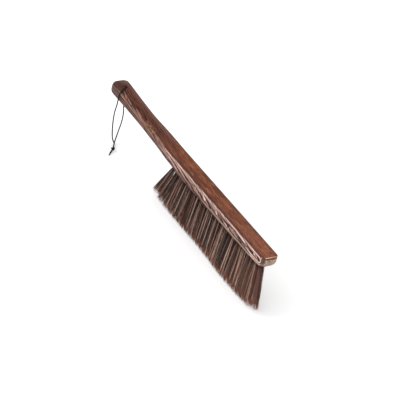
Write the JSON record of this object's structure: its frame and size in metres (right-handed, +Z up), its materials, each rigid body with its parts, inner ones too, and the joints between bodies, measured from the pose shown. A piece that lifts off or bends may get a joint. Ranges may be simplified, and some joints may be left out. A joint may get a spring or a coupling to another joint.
{
  "type": "drafting brush",
  "caption": "Long wooden drafting brush: flat block with staggered tufts of dark hair, swept handle with a rounded butt, and a thin knotted hanging cord.",
  "frame": {"origin": "on the floor under the middle of the wood and hair as the brush stands on its hair tips", "axes": "+X along the brush from the handle to the nose, +Y to the far side of the hair, away from the side over which the cord hangs, +Z up"},
  "size_m": [0.3936, 0.0384, 0.0839],
  "materials": {
    "lacquered_wood": "satin clear lacquer over dark, striped hardwood",
    "dark_hair": "natural animal hair, dark brown",
    "brown_hair": "natural animal hair, reddish brown",
    "black_cord": "matt twisted cord, black"
  },
  "bodies": {
    "brush": {"wooden_body": "lacquered_wood", "tuft_near_01": "dark_hair", "tuft_near_02": "dark_hair", "tuft_near_03": "brown_hair", "tuft_near_04": "dark_hair", "tuft_near_05": "brown_hair", "tuft_near_06": "dark_hair", "tuft_near_07": "dark_hair", "tuft_near_08": "dark_hair", "tuft_near_09": "brown_hair", "tuft_near_10": "dark_hair", "tuft_near_11": "brown_hair", "tuft_near_12": "dark_hair", "tuft_near_13": "brown_hair", "tuft_near_14": "brown_hair", "tuft_near_15": "brown_hair", "tuft_near_16": "dark_hair", "tuft_near_17": "dark_hair", "tuft_near_18": "dark_hair", "tuft_near_19": "brown_hair", "tuft_near_20": "dark_hair", "tuft_near_21": "dark_hair", "tuft_near_22": "dark_hair", "tuft_near_23": "dark_hair", "tuft_near_24": "brown_hair", "tuft_near_25": "brown_hair", "tuft_far_01": "dark_hair", "tuft_far_02": "dark_hair", "tuft_far_03": "brown_hair", "tuft_far_04": "brown_hair", "tuft_far_05": "brown_hair", "tuft_far_06": "dark_hair", "tuft_far_07": "dark_hair", "tuft_far_08": "dark_hair", "tuft_far_09": "brown_hair", "tuft_far_10": "dark_hair", "tuft_far_11": "dark_hair", "tuft_far_12": "dark_hair", "tuft_far_13": "dark_hair", "tuft_far_14": "brown_hair", "tuft_far_15": "brown_hair", "tuft_far_16": "dark_hair", "tuft_far_17": "dark_hair", "tuft_far_18": "dark_hair", "tuft_far_19": "brown_hair", "tuft_far_20": "dark_hair", "tuft_far_21": "brown_hair", "tuft_far_22": "dark_hair", "tuft_far_23": "dark_hair", "cord_over_handle": "black_cord"},
    "cord_loop": {"cord_leg_beside": "black_cord", "cord_leg_under": "black_cord", "cord_knot": "black_cord", "cord_tail_long": "black_cord", "cord_tail_short": "black_cord"}
  },
  "joints": [
    {"name": "loop_swing", "type": "hinge", "parent": "brush", "child": "cord_loop", "pos_m": [-0.17201, -0.00664, 0.06301], "axis": [0.4764, -0.8793, 0], "range_deg": [-80, 66]}
  ]
}
